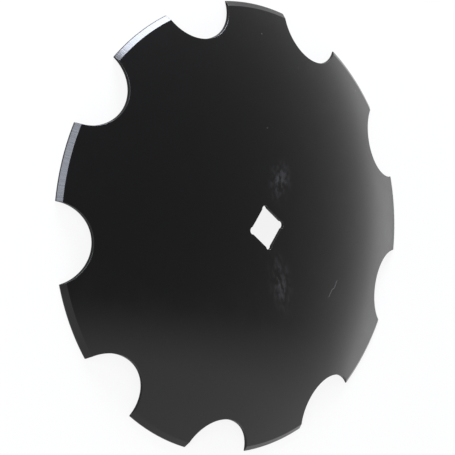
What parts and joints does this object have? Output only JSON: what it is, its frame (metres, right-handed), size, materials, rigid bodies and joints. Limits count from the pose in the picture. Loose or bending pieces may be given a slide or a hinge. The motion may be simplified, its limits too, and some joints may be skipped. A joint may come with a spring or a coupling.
{
  "type": "harrow disc blade",
  "caption": "Dished harrow disc blade with round notches in its rim, a ground cutting bevel on the convex side and a square axle hole with relieved corners.",
  "frame": {"origin": "on the blade's axis, in the plane of its cutting edge, which is the floor it rests on", "axes": "+Z along the blade's axis, out of the convex side; +X through the middle of one notch, with the square hole's flats facing along X and Y"},
  "size_m": [0.5061, 0.51, 0.0562],
  "materials": {
    "blade": "gloss"
  },
  "bodies": {
    "root": {"disc_blade": "blade"}
  },
  "joints": []
}
